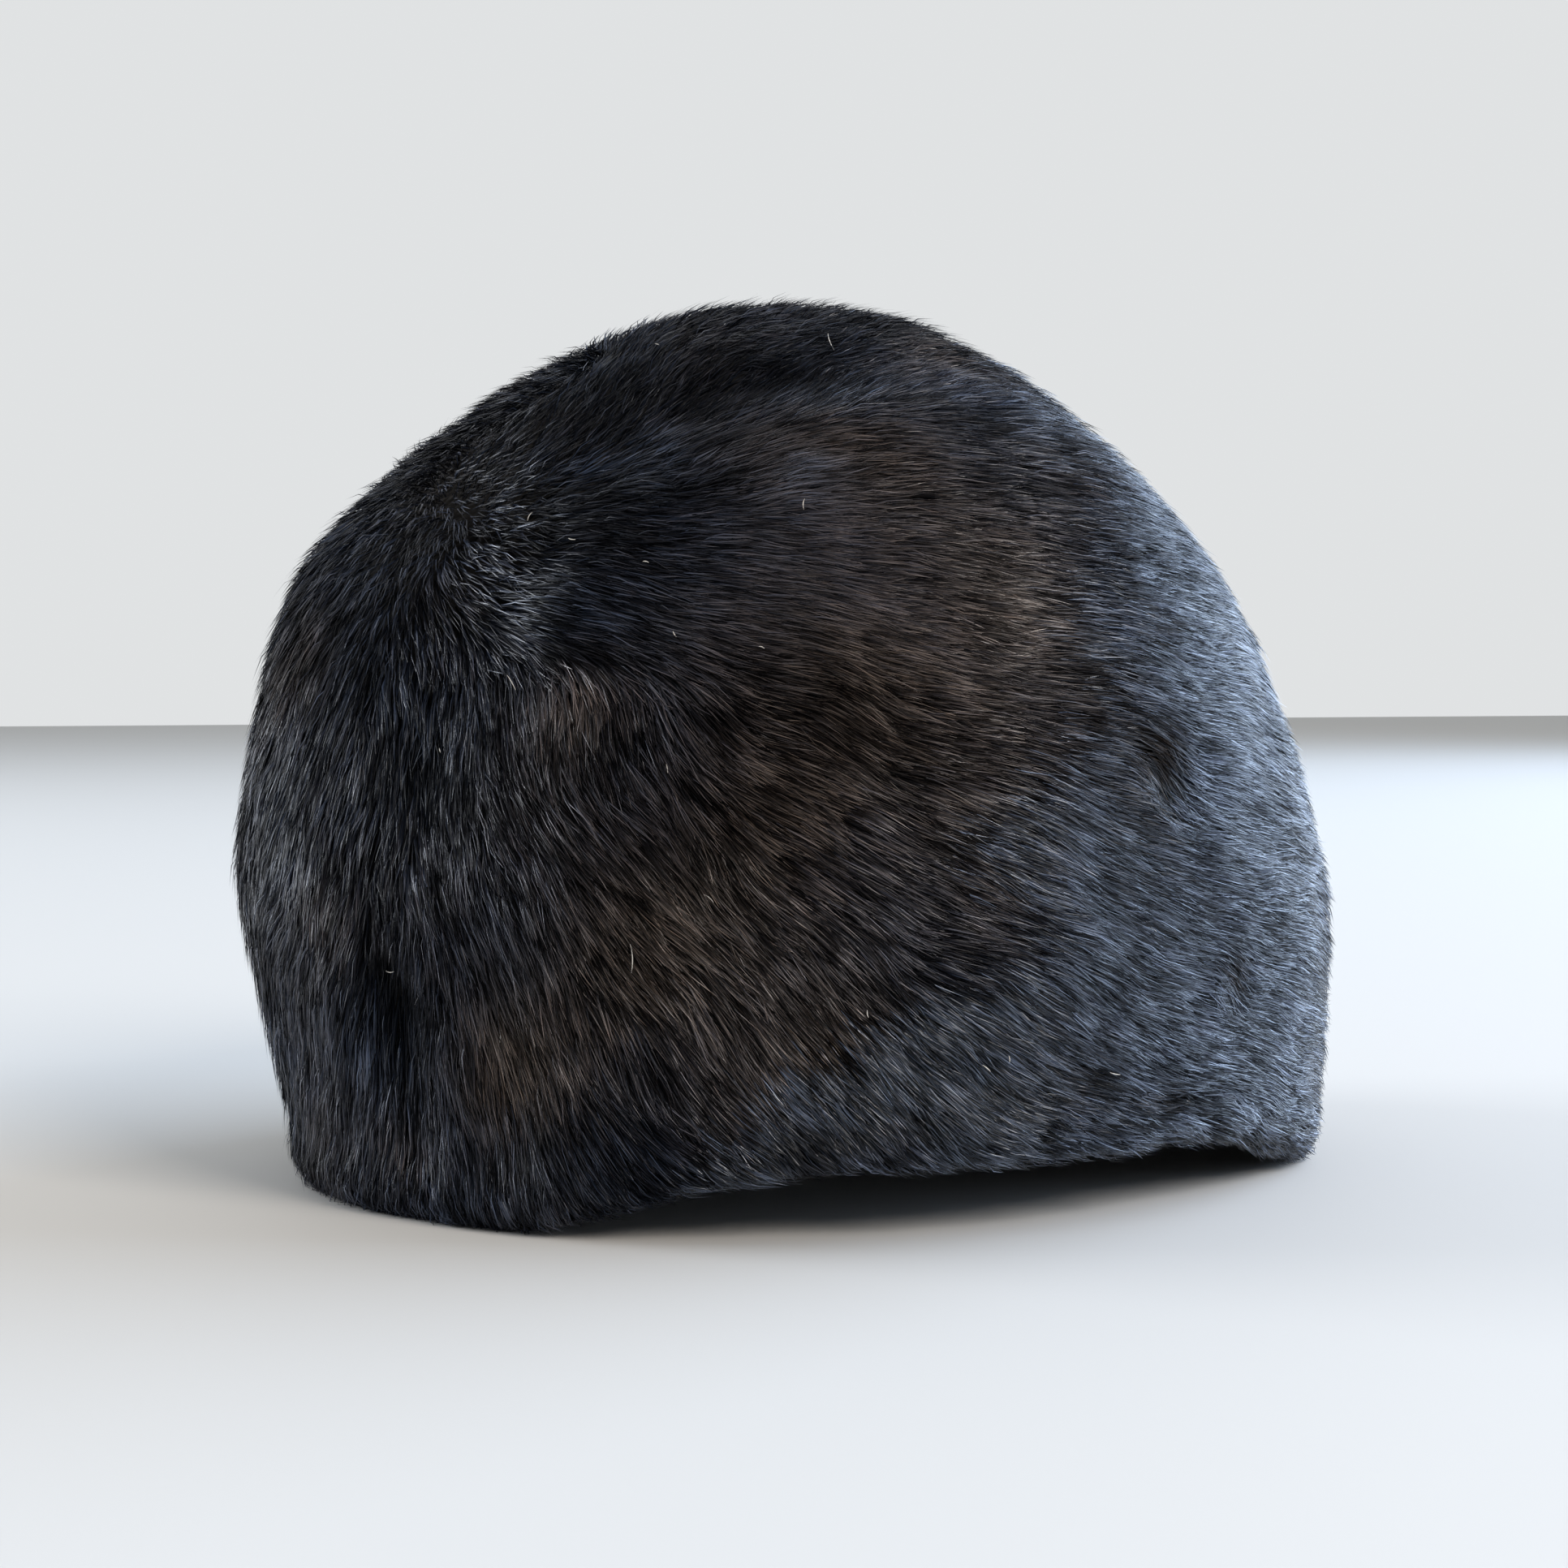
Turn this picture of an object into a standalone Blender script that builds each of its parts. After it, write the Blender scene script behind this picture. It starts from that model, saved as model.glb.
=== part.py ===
"""A brimless faux fur hat: three sewn fur panels over a rolled fur hem, hollow for the head.

Metres, +Z up, the front towards -Y, the wearer's left towards +X, standing on Z = 0.
"""

import math

import bmesh
import bpy
import numpy as np

# Outside of the fur at its widest, and at the top of the crown
HAT_LENGTH = 0.233
HAT_WIDTH = 0.204
HAT_HEIGHT = 0.176

# The fur fabric: its cloth with the pile lying flat on it
FUR_WALL = 0.0105

# The hem: its height, the lift off the table at the sides, and the room left at each sewn joint
HEM_HEIGHT = 0.012
HEM_ARCH = 0.0125
SEWN_GAP = 0.0003

# The centre panel over the crown, and the dip where the pile parts along its seams
CENTRE_PANEL_WIDTH = 0.080
SEAM_DIP = 0.0022
SEAM_SPREAD = 0.0085

# Locks of fur, which overlap like shingles
LOCK_LENGTH = 0.040
LOCK_WIDTH = 0.017
LOCK_RISE = 0.0034
LOCK_COVER = 1.5

# The oval seen from above: 2 makes an ellipse, more a squarer oval
OVAL_POWER = 2.0

# Mesh counts: quads across a quarter turn, across half the centre panel, and round the hem
QUARTER_QUADS = 28
CENTRE_QUADS = 7
HEM_SEGMENTS = 56

# The outside of the crown in even steps of turn, from the hem at 0 to the top at 90 degrees.
# up is a share of the height above the hem; front, back and side are shares of half the length or width.
CROWN_COLUMNS = ("up", "front", "back", "side")
CROWN_ROWS = (
    (0.000, 0.893, 1.000, 0.965),
    (0.143, 0.942, 1.027, 0.990),
    (0.287, 0.985, 1.010, 1.000),
    (0.427, 0.966, 0.950, 0.965),
    (0.567, 0.925, 0.875, 0.905),
    (0.701, 0.845, 0.766, 0.805),
    (0.808, 0.682, 0.630, 0.660),
    (0.893, 0.514, 0.484, 0.500),
    (0.954, 0.345, 0.328, 0.337),
    (0.991, 0.184, 0.174, 0.180),
    (1.000, 0.000, 0.000, 0.000),
)

# Soft dents and swells of the whole wall. around is in degrees from the front, positive to the wearer's left; up is
# the share of the hat's height; long and wide are shares of the hat's length; lean turns the long way from level
# towards the top, in degrees; depth is a share of the fur wall, and a minus sign makes a swell.
DENT_COLUMNS = ("around", "up", "long", "wide", "lean", "depth")
DENT_ROWS = (
    (34.0, 0.20, 0.110, 0.030, 90.0, 0.45),
    (48.0, 0.62, 0.100, 0.040, 20.0, 0.25),
    (100.0, 0.47, 0.050, 0.030, 0.0, 0.20),
    (12.0, 0.30, 0.120, 0.040, 90.0, -0.20),
    (75.0, 0.90, 0.120, 0.035, 10.0, 0.35),
    (-55.0, 0.55, 0.120, 0.050, 25.0, 0.22),
    (-130.0, 0.40, 0.100, 0.045, 70.0, 0.20),
    (170.0, 0.62, 0.120, 0.050, 5.0, 0.18),
)

# The comb of the fur at some places of the left half; the right half mirrors it. around is in degrees from the
# front, up a share of the height, and the rest is a direction: away from the centre line, towards the back, down.
COMB_COLUMNS = ("around", "up", "out", "back", "down")
COMB_ROWS = (
    (0.0, 0.10, 0.00, 0.00, 1.00),
    (0.0, 0.60, 0.00, 0.00, 1.00),
    (5.0, 0.95, 0.10, 0.95, 0.10),
    (30.0, 0.15, 0.20, 0.20, 0.95),
    (30.0, 0.50, 0.25, 0.15, 0.95),
    (40.0, 0.72, 0.50, 0.90, 0.20),
    (60.0, 0.15, 0.20, 0.45, 0.85),
    (60.0, 0.45, 0.20, 0.85, 0.50),
    (70.0, 0.80, 0.10, 1.00, 0.10),
    (90.0, 0.10, 0.00, 0.75, 0.65),
    (90.0, 0.50, 0.00, 0.93, 0.35),
    (120.0, 0.20, -0.20, 0.90, 0.40),
    (120.0, 0.75, -0.20, 0.95, 0.25),
    (150.0, 0.40, -0.60, 0.60, 0.50),
    (180.0, 0.15, 0.00, 0.10, 1.00),
    (180.0, 0.75, 0.00, 0.50, 0.80),
)

# Section of the hem roll, from the top of its inner side down, under and up again: the share across the wall from
# the inside, and the share up from its underside
HEM_SECTION = (
    (0.00, 1.00),
    (0.00, 0.55),
    (0.06, 0.25),
    (0.28, 0.00),
    (0.66, 0.00),
    (0.90, 0.16),
    (1.00, 0.42),
    (1.05, 0.72),
    (1.00, 1.00),
    (0.50, 1.00),
)

FUR_COLOUR = (0.020, 0.016, 0.014, 1.0)
HEM_COLOUR = (0.014, 0.012, 0.012, 1.0)
GOLDEN_TURN = math.radians(137.508)
CROWN_FOOT = HEM_HEIGHT + SEWN_GAP
SEAM_COLUMN = CENTRE_QUADS / (QUARTER_QUADS / 2)


def clear_scene():
    """Empties the scene of objects and of the collections that held them."""
    for thing in list(bpy.data.objects):
        bpy.data.objects.remove(thing, do_unlink=True)
    for group in list(bpy.data.collections):
        bpy.data.collections.remove(group)


def fur_material(name, colour):
    """A dull dark material for fur seen from afar."""
    material = bpy.data.materials.new(name)
    material.use_nodes = True
    shader = material.node_tree.nodes["Principled BSDF"]
    shader.inputs["Base Color"].default_value = colour
    shader.inputs["Roughness"].default_value = 0.8
    shader.inputs["Metallic"].default_value = 0.0
    return material


def ease(share):
    """Runs smoothly from 0 to 1."""
    share = np.clip(share, 0.0, 1.0)
    return share * share * (3.0 - 2.0 * share)


def unit(vectors):
    """The vectors at length 1."""
    return vectors / np.maximum(np.linalg.norm(vectors, axis=-1, keepdims=True), 1e-12)


def read_crown(turn, column):
    """A column of the crown's rows at each turn, from 0 at the hem to 1 at the top, as a smooth curve."""
    values = np.array([row[CROWN_COLUMNS.index(column)] for row in CROWN_ROWS])
    past_top = values[-2] if column == "up" else -values[-2]
    values = np.concatenate([[2.0 * values[0] - values[1]], values, [past_top]])
    steps = len(CROWN_ROWS) - 1
    place = np.clip(turn, -0.09, 1.0) * steps
    first = np.clip(np.floor(place), 0, steps - 1).astype(int)
    share = place - first
    before, start, end, after = (values[first + i] for i in range(4))
    slope_in = (end - before) / 2.0
    slope_out = (after - start) / 2.0
    square, cube = share**2, share**3
    return (
        start * (2 * cube - 3 * square + 1)
        + slope_in * (cube - 2 * square + share)
        + end * (3 * square - 2 * cube)
        + slope_out * (cube - square)
    )


def length_shift():
    """How far the crown moves forward so that its widest front and back reaches lie evenly about the origin."""
    turns = np.linspace(0.0, 1.0, 201)
    return (read_crown(turns, "back").max() - read_crown(turns, "front").max()) * HAT_LENGTH / 4


def hem_lift(around):
    """Height of the hem's underside off the table: level at the front and back, arched at the sides."""
    return HEM_ARCH * ease((np.abs(np.sin(around)) - 0.50) / 0.46)


def crown_point(direction):
    """Places of the smooth outside of the crown, above the hem, for directions from the middle of the hat."""
    direction = unit(direction)
    around = np.arctan2(direction[:, 0], -direction[:, 1])
    turn = np.arcsin(np.clip(direction[:, 2], -1.0, 1.0)) / (math.pi / 2)
    to_front = read_crown(turn, "front") * HAT_LENGTH / 2
    to_back = read_crown(turn, "back") * HAT_LENGTH / 2
    to_side = read_crown(turn, "side") * HAT_WIDTH / 2
    forward, sideways = np.cos(around), np.sin(around)
    lengthways = np.maximum(np.where(forward > 0, to_front, to_back), 1e-9)
    reach = (
        np.abs(forward / lengthways) ** OVAL_POWER
        + np.abs(sideways / np.maximum(to_side, 1e-9)) ** OVAL_POWER
    ) ** (-1.0 / OVAL_POWER)
    lift = hem_lift(around)
    up = lift + (HAT_HEIGHT - CROWN_FOOT - lift) * read_crown(turn, "up")
    return np.stack([reach * sideways, -reach * forward - length_shift(), up], axis=1)


def crown_normal(direction):
    """The way out of the crown at each direction, level at the hem so that the panels end square on it."""
    direction = unit(direction)
    helper = np.where(np.abs(direction[:, 2:3]) > 0.9, [[1.0, 0.0, 0.0]], [[0.0, 0.0, 1.0]])
    first = unit(np.cross(direction, helper))
    second = np.cross(direction, first)
    step = 0.01
    one = crown_point(direction + step * first) - crown_point(direction - step * first)
    two = crown_point(direction + step * second) - crown_point(direction - step * second)
    normal = unit(np.cross(one, two))
    normal *= np.sign(np.sum(normal * direction, axis=1, keepdims=True))
    normal[:, 2] *= ease(direction[:, 2] / 0.2)
    return unit(normal)


def direction_of(around, up):
    """The direction from the middle of the hat to a place given by its angle from the front and its height."""
    around = math.radians(around)
    turns = np.linspace(0.0, 1.0, 91)
    rise = read_crown(turns, "up")
    turn = np.interp((up * HAT_HEIGHT - CROWN_FOOT) / (HAT_HEIGHT - CROWN_FOOT), rise, turns) * math.pi / 2
    level = math.cos(turn)
    return np.array([[level * math.sin(around), -level * math.cos(around), math.sin(turn)]])


def tangents(direction):
    """Level and uphill ways along the crown at each direction."""
    normal = crown_normal(direction)
    level = unit(np.cross([[0.0, 0.0, 1.0]], normal))
    return normal, level, np.cross(normal, level)


def dents(points):
    """How far the wall sinks at each point, from the dents, the swells and the parted seams."""
    sunk = np.zeros(len(points))
    for row in DENT_ROWS:
        dent = dict(zip(DENT_COLUMNS, row))
        direction = direction_of(dent["around"], dent["up"])
        _, level, uphill = tangents(direction)
        lean = math.radians(dent["lean"])
        along = level * math.cos(lean) + uphill * math.sin(lean)
        across = uphill * math.cos(lean) - level * math.sin(lean)
        offset = points - crown_point(direction)
        far = (offset @ along[0] / (dent["long"] * HAT_LENGTH)) ** 2
        far += (offset @ across[0] / (dent["wide"] * HAT_LENGTH)) ** 2
        sunk += dent["depth"] * FUR_WALL * np.exp(-far)
    return sunk


def seam_angle():
    """Angle at the middle of the hat between the centre line and a seam of the centre panel."""
    return CENTRE_PANEL_WIDTH / HAT_WIDTH


def seam_dip(direction):
    """How far the pile sinks where it parts along the two seams."""
    off_centre = np.arctan2(np.abs(direction[:, 0]), np.hypot(direction[:, 1], direction[:, 2]))
    away = (off_centre - seam_angle()) * HAT_WIDTH / 2
    return SEAM_DIP * np.exp(-((away / SEAM_SPREAD) ** 2))


def comb(points, normal):
    """Which way the fur lies at each point, along the surface."""
    table = [dict(zip(COMB_COLUMNS, row)) for row in COMB_ROWS]
    total = np.zeros_like(points)
    for row in table:
        place = crown_point(direction_of(row["around"], row["up"]))[0]
        for side in (1.0, -1.0):
            near = np.sum((points - place * (side, 1.0, 1.0)) ** 2, axis=1) + (0.1 * HAT_LENGTH) ** 2
            total += np.array([[side * row["out"], row["back"], -row["down"]]]) / near[:, None] ** 2
    total -= np.sum(total * normal, axis=1, keepdims=True) * normal
    return unit(total)


def lock_directions():
    """Directions to the locks, spread evenly over the crown in a spiral of golden turns."""
    top_area = math.pi * HAT_LENGTH / 2 * HAT_WIDTH / 2
    side_area = math.pi * (HAT_LENGTH + HAT_WIDTH) / 2 * HAT_HEIGHT * 0.7
    count = int((top_area + side_area) * LOCK_COVER / (LOCK_LENGTH * LOCK_WIDTH))
    index = np.arange(count)
    rise = np.sin(0.5 * math.pi * (index + 0.5) / count)
    level = np.sqrt(1.0 - rise**2)
    around = index * GOLDEN_TURN
    return np.stack([level * np.sin(around), -level * np.cos(around), rise], axis=1)


def locks(points):
    """Height of the locks over the smooth pile: each swells towards its tip, and the highest shows."""
    direction = lock_directions()
    centre = crown_point(direction)
    normal = crown_normal(direction)
    along = comb(centre, normal)
    across = np.cross(normal, along)
    height = np.zeros(len(points))
    for i in range(len(direction)):
        offset = points - centre[i]
        run = offset @ along[i] / LOCK_LENGTH + 0.5
        side = offset @ across[i] / (LOCK_WIDTH / 2)
        off_skin = np.abs(offset @ normal[i]) / (LOCK_LENGTH / 2)
        swell = (0.15 + 0.85 * run) * ease((1.0 - run) / 0.14) * ease(run / 0.2)
        here = swell * np.clip(1.0 - side**2, 0.0, 1.0) * (off_skin < 1.0)
        height = np.maximum(height, LOCK_RISE * (0.75 + 0.25 * math.cos(7.0 * i)) * here)
    return height


def cage_directions(cage_points):
    """Directions for points on a cube's skin, with the cube's columns moved so that each seam keeps its angle."""
    across = np.abs(cage_points[:, 0])
    off_centre = np.interp(across, [0.0, SEAM_COLUMN, 1.0], [0.0, seam_angle(), math.pi / 4])
    along = np.tan(cage_points[:, 1:3] * math.pi / 4)
    rounding = ease((1.0 - across) / (1.0 - SEAM_COLUMN))
    sideways = np.sign(cage_points[:, 0]) * np.tan(off_centre) * np.linalg.norm(along, axis=1) ** rounding
    return unit(np.column_stack([sideways, along]))


def make_object(name, bm, material, group, parent, location):
    """Puts a finished mesh in the scene as one smooth-shaded piece."""
    bmesh.ops.recalc_face_normals(bm, faces=bm.faces[:])
    mesh = bpy.data.meshes.new(name)
    bm.to_mesh(mesh)
    bm.free()
    mesh.materials.append(material)
    mesh.shade_smooth()
    mesh.set_sharp_from_angle(angle=math.radians(50.0))
    thing = bpy.data.objects.new(name, mesh)
    group.objects.link(thing)
    thing.parent = parent
    thing.location = location
    return thing


def off_the_seam(cage_points, way):
    """Moves the points that lie on a seam off it by half the sewn gap, outwards for 1 and inwards for -1."""
    outside = (math.pi / 4 - seam_angle()) / (1.0 - SEAM_COLUMN)
    inside = seam_angle() / SEAM_COLUMN
    room = SEWN_GAP / HAT_WIDTH / (outside if way > 0 else inside)
    at_seam = np.abs(np.abs(cage_points[:, 0]) - SEAM_COLUMN) < 1e-4
    cage_points[:, 0] += np.sign(cage_points[:, 0]) * way * room * at_seam
    return cage_points


def fur_panel(name, belongs, way, material, group, parent):
    """One sewn panel: the cage quads that belong to it, raised from the cloth side to the tips of the locks."""
    bm = bmesh.new()
    bmesh.ops.create_cube(bm, size=2.0)
    bmesh.ops.subdivide_edges(bm, edges=bm.edges[:], cuts=QUARTER_QUADS - 1, use_grid_fill=True)
    spare = [f for f in bm.faces if f.calc_center_median().z < 0 or not belongs(f.calc_center_median())]
    bmesh.ops.delete(bm, geom=spare, context="FACES")
    cloth_side = bm.verts[:]
    raised = bmesh.ops.extrude_face_region(bm, geom=bm.faces[:], use_keep_orig=True)
    fur_side = [v for v in raised["geom"] if isinstance(v, bmesh.types.BMVert)]
    for verts, pile in ((cloth_side, 0.0), (fur_side, 1.0)):
        cage = np.array([v.co[:] for v in verts])
        direction = cage_directions(off_the_seam(cage, way))
        place = crown_point(direction)
        normal = crown_normal(direction)
        sunk = dents(place)
        pile_here = (locks(place) - LOCK_RISE / 2) * ease(direction[:, 2] / 0.1) - seam_dip(direction)
        offset = -sunk + np.where(pile > 0, pile_here, -FUR_WALL)
        for vert, point in zip(verts, place + offset[:, None] * normal):
            vert.co = point
    return make_object(name, bm, material, group, parent, (0.0, 0.0, CROWN_FOOT))


def hem_roll(material, group, parent):
    """The rolled edge of fur under the panels, turned from a ring: flat below where it stands on the table."""
    sides = len(HEM_SECTION)
    bpy.ops.mesh.primitive_torus_add(
        major_segments=HEM_SEGMENTS, minor_segments=sides, major_radius=1.0, minor_radius=0.25
    )
    ring = bpy.context.object
    bm = bmesh.new()
    bm.from_mesh(ring.data)
    bpy.data.objects.remove(ring, do_unlink=True)
    places = np.array([v.co[:] for v in bm.verts])
    around = np.arctan2(places[:, 0], -places[:, 1])
    out = np.hypot(places[:, 0], places[:, 1]) - 1.0
    side = np.round(np.arctan2(places[:, 2], out) / (2 * math.pi) * sides).astype(int)
    section = np.array(HEM_SECTION)[(side - round(0.4 * sides)) % sides]
    direction = np.stack([np.sin(around), -np.cos(around), np.zeros_like(around)], axis=1)
    edge = crown_point(direction)
    normal = crown_normal(direction)
    outside = edge - (dents(edge) + seam_dip(direction))[:, None] * normal
    inside = edge - (dents(edge) + FUR_WALL)[:, None] * normal
    across = section[:, 0:1]
    place = inside + (outside - inside) * across
    place[:, 2] = hem_lift(around) + section[:, 1] * HEM_HEIGHT
    for vert, point in zip(bm.verts, place):
        vert.co = point
    return make_object("hem_roll", bm, material, group, parent, (0.0, 0.0, 0.0))


def build():
    """Models the hat's four pieces in one collection."""
    clear_scene()
    group = bpy.data.collections.new("faux_fur_hat")
    bpy.context.scene.collection.children.link(group)
    stand = bpy.data.objects.new("hat_origin", None)
    group.objects.link(stand)
    fur = fur_material("fur", FUR_COLOUR)
    hem_fur = fur_material("hem_fur", HEM_COLOUR)
    fur_panel("centre_panel", lambda c: abs(c.x) < SEAM_COLUMN, -1.0, fur, group, stand)
    fur_panel("left_side_panel", lambda c: c.x > SEAM_COLUMN, 1.0, fur, group, stand)
    fur_panel("right_side_panel", lambda c: c.x < -SEAM_COLUMN, 1.0, fur, group, stand)
    hem_roll(hem_fur, group, stand)


build()
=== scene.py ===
import math

import bpy
import numpy as np
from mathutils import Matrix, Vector
from mathutils.bvhtree import BVHTree
from mathutils.kdtree import KDTree


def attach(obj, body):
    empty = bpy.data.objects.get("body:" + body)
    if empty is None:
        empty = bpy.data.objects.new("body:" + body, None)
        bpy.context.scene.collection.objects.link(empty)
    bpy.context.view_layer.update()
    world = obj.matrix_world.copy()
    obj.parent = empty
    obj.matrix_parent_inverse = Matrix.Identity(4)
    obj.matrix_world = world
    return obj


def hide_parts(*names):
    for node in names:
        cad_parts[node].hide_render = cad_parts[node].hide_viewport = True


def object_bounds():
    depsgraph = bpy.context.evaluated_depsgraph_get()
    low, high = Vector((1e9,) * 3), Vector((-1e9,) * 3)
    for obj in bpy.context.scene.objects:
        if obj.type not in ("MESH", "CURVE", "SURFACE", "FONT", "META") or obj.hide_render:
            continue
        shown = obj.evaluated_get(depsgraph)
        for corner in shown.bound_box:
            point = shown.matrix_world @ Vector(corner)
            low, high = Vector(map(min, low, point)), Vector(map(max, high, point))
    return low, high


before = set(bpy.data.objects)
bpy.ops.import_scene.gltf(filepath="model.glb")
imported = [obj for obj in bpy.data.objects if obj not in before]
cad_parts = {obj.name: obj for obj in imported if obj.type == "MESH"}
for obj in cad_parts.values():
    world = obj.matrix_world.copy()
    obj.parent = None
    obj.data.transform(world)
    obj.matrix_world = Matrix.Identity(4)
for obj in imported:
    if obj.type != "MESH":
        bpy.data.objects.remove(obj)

CAD_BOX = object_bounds()
PICTURE_SIDE = 1932

# The camera as the picture was taken: round the hat from its front, away, up, tilted down and its lens
CAMERA_AROUND = 62.6
CAMERA_AWAY = 0.5785
CAMERA_UP = 0.0988
CAMERA_DOWN = 2.08
CAMERA_ASIDE = 0.222
CAMERA_LENS = 63.35
SENSOR = 36.0

# The hat as a whole: about its radius, the point that its walls face away from, and how squarely the faces on
# its fur side do so
HAT_RADIUS = 0.105
MIDDLE = (0.0, 0.0, 0.045)
FUR_SIDE = 0.5

# The walls below the fur: rounds of softening, and how far panels reach into the seams
SOFT_ROUNDS = 2
SEAM_OVERLAP = 0.0004

# The fur: how far below its outside the strands start, the shares of their length where they have points, how
# far each of a strand's five corners is from dark to pale, how near the floor they come, and how far around a
# seen place its comb counts most
ROOT_DEPTH = 0.0032
STRAND_STEPS = (0.0, 0.55, 1.0)
TONE_STEPS = (0.0, 0.0, 0.30, 0.30, 1.0)
FLOOR_GAP = 0.0002
COMB_REACH = 0.0058

# The strands of the panels and of the hem: their length and width, how high they lie, how far they stray from
# the comb, and how strongly clumps of a size draw them together
PANEL_LOOK = {
    "length": 0.0120,
    "width": 0.00032,
    "depth": ROOT_DEPTH,
    "lift": 0.0002,
    "stray": 0.075,
    "clump": 0.82,
    "spacing": 0.0016,
}
HEM_LOOK = dict(PANEL_LOOK, length=0.0085, lift=-0.0001, stray=0.15)
LOCKS = {"clump": 0.42, "spacing": 0.0044}
FAR_SIDE_WIDTH = 1.3

# Single hairs that stand out of the pile: their share, how far they rise and how fine and bright they are
STRAY_SHARE = 0.20
STRAY_RISE = (0.0004, 0.0021)
STRAY_WIDTH = 0.55
STRAY_BRIGHT = 1.30
PLAIN_BRIGHT = 0.90

# How much a strand's own tone, its clump's and its lock's count in its brightness, and how strong that is
OWN_TONE = 0.33
CLUMP_TONE = 0.40
LOCK_TONE = 0.27
TONE_CONTRAST = 1.60

# The edge of the painted sheen, in pixels of the picture: how soft and uneven it is, and how far it's shifted
# for a strand, its clump and its lock
SHEEN_SOFT = 70
SHEEN_UNEVEN = 22
OWN_STAGGER = 40
CLUMP_STAGGER = 80
LOCK_STAGGER = 50

# Behind, the fur turns brown and loses its painted sheen: from how many degrees round the hat, and over how
# many
BROWN_FROM = 122
BROWN_OVER = 50
DULL_FROM = 126
DULL_OVER = 45

# How many strands each mesh of a panel holds
STRANDS = {
    "centre_panel": (40000, 25000),
    "left_side_panel": (50000, 50000, 50000),
    "right_side_panel": (38000, 37000),
    "hem_roll": (32000,),
}

# Where the random draws start
SPOT_SEED = 61
LINT_SEED = 77
PANEL_SEED = 100
HEM_SEED = 140

# The fur's brightness and gloss from its dullest strand to its brightest, and its colours: at the root, at a
# brown tip, where it's blue-black, partly painted bluish shade, and the paler blue-grey of its painted sheen
BRIGHT_RANGE = (0.12, 5.8)
GLOSS_RANGE = (0.03, 1.15)
FUR_ROOT = (0.0008, 0.0009, 0.0014)
FUR_BROWN = (0.048, 0.035, 0.027)
FUR_COOL = (0.007, 0.010, 0.018)
FUR_PAINTED_SHEEN = (0.017, 0.022, 0.035)

# The other colours: the underfur on the walls, the cloth inside, the lint and the floor
UNDERFUR_DARK = (0.0025, 0.0020, 0.0018)
UNDERFUR_PALE = (0.010, 0.008, 0.007)
CLOTH_DARK = (0.026, 0.024, 0.024)
CLOTH_PALE = (0.150, 0.138, 0.132)
LINT_COLOUR = (0.55, 0.52, 0.48)
FLOOR_COLOUR = (0.62, 0.62, 0.61)

# The surroundings and the lights; each light's angle is counted from the camera's
WORLD_DIM = 0.28
WORLD_BRIGHT = 0.77
WORLD_COLOUR = (0.97, 0.99, 1.0)
LIGHT_COLUMNS = ("name", "around", "away", "up", "size", "power", "colour")
LIGHTS = (
    ("window_light", 112, 2.9, 1.18, (3.8, 2.4), 194.0, (0.62, 0.775, 1.0)),
    ("warm_light", 40, 3.2, 2.3, (1.6, 1.6), 100.0, (1.0, 0.90, 0.80)),
    ("left_light", -100, 3.2, 0.85, (1.6, 1.5), 84.0, (0.95, 0.97, 1.0)),
)

# The comb of the fur as seen in the picture: a pixel, and which way the strands run there, in degrees
# clockwise from the picture's right
SEEN_COLUMNS = ("x", "y", "turn")
SEEN_COMB = (
    (340, 900, 100),
    (330, 1150, 95),
    (370, 1330, 85),
    (420, 760, 110),
    (450, 1000, 95),
    (450, 1200, 92),
    (440, 1400, 88),
    (400, 640, 140),
    (480, 560, 130),
    (560, 480, 130),
    (680, 425, 140),
    (650, 590, -10),
    (720, 530, -22),
    (780, 490, -25),
    (840, 440, -25),
    (520, 680, 110),
    (590, 735, 35),
    (650, 765, 14),
    (730, 785, 12),
    (800, 795, 14),
    (560, 830, 82),
    (620, 850, 84),
    (700, 870, 84),
    (770, 870, 78),
    (830, 880, 62),
    (720, 930, 72),
    (800, 960, 50),
    (560, 950, 85),
    (540, 1080, 80),
    (520, 1250, 85),
    (600, 1400, 70),
    (620, 640, 30),
    (680, 740, 15),
    (640, 1000, 60),
    (640, 1150, 62),
    (680, 1300, 68),
    (720, 1420, 50),
    (760, 1000, 42),
    (800, 1150, 45),
    (860, 1280, 52),
    (900, 1400, 40),
    (760, 620, 5),
    (900, 560, -12),
    (900, 700, 8),
    (950, 820, 15),
    (960, 950, 24),
    (1000, 1080, 30),
    (1020, 1230, 42),
    (1100, 1380, 48),
    (1000, 480, -20),
    (1050, 400, 2),
    (920, 400, 0),
    (1100, 560, 5),
    (1150, 700, 10),
    (1180, 850, 15),
    (1200, 1000, 20),
    (1220, 1150, 28),
    (1260, 1300, 36),
    (1300, 1390, 20),
    (1250, 480, 20),
    (1330, 600, 18),
    (1380, 760, 14),
    (1450, 900, 12),
    (1480, 1080, 23),
    (1500, 1250, 21),
    (1480, 1360, 8),
    (1590, 1100, 12),
    (1590, 1300, 10),
)

# The comb where the picture doesn't reach: places round the hat in degrees from its front and heights in
# shares, with the direction away from the centre line, towards the back, and down
HIDDEN_COLUMNS = ("around", "up", "out", "back", "down")
HIDDEN_COMB = (
    (130, 0.15, -0.20, 0.85, 0.45),
    (130, 0.55, -0.25, 0.90, 0.35),
    (150, 0.30, -0.60, 0.60, 0.50),
    (150, 0.80, -0.40, 0.85, 0.35),
    (180, 0.10, 0.00, 0.10, 1.00),
    (180, 0.45, 0.00, 0.15, 1.00),
    (180, 0.80, 0.00, 0.60, 0.80),
    (0, 0.15, 0.00, 0.00, 1.00),
    (0, 0.60, 0.00, -0.10, 1.00),
    (0, 0.90, 0.00, -0.90, 0.40),
)
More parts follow.
